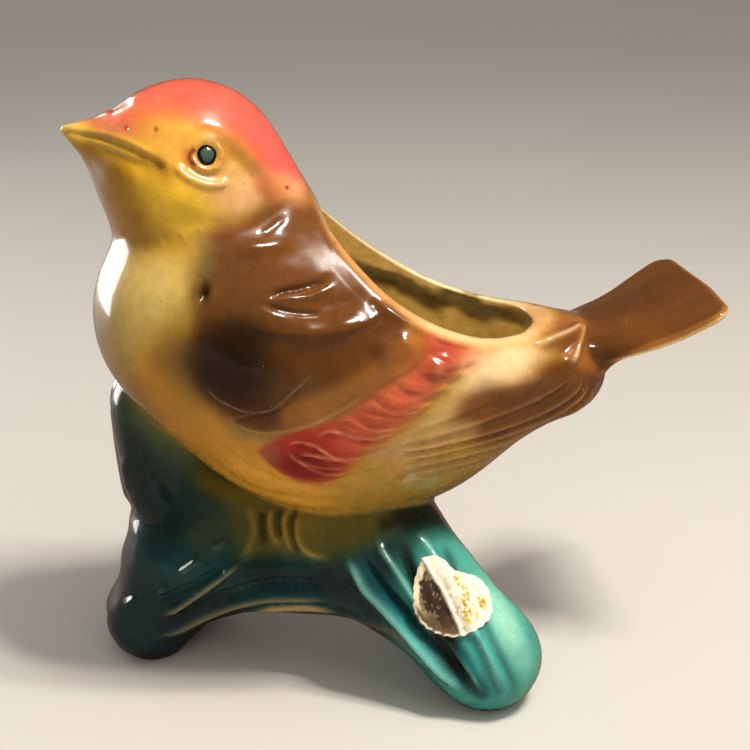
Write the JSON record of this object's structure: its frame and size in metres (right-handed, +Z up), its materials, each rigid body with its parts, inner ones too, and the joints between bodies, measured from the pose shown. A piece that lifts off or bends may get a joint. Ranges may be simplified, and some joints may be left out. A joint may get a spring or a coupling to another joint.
{
  "type": "bird planter",
  "caption": "Hollow glazed ceramic songbird planter, open along its back, perched on a forked branch with two flat feet.",
  "frame": {"origin": "centre of the object's footprint box, on the ground under the feet", "axes": "+Z up; the beak looks toward -X and the tail points toward +X; the flank with the label faces -Y"},
  "size_m": [0.1508, 0.075, 0.1472],
  "materials": {
    "bird_glaze": "airbrushed yellow, brown and coral-red under a clear gloss glaze",
    "tail_glaze": "airbrushed brown under a clear gloss glaze",
    "branch_glaze": "airbrushed teal and turquoise under a clear gloss glaze",
    "eye_enamel": "glossy grey-green enamel with a dark edge",
    "label_paper": "worn, creased round paper and foil label, no lettering"
  },
  "bodies": {
    "root": {"bird_vessel": "bird_glaze", "tail_fan": "tail_glaze", "branch_base": "branch_glaze", "left_eye": "eye_enamel", "right_eye": "eye_enamel", "maker_label": "label_paper"}
  },
  "joints": []
}
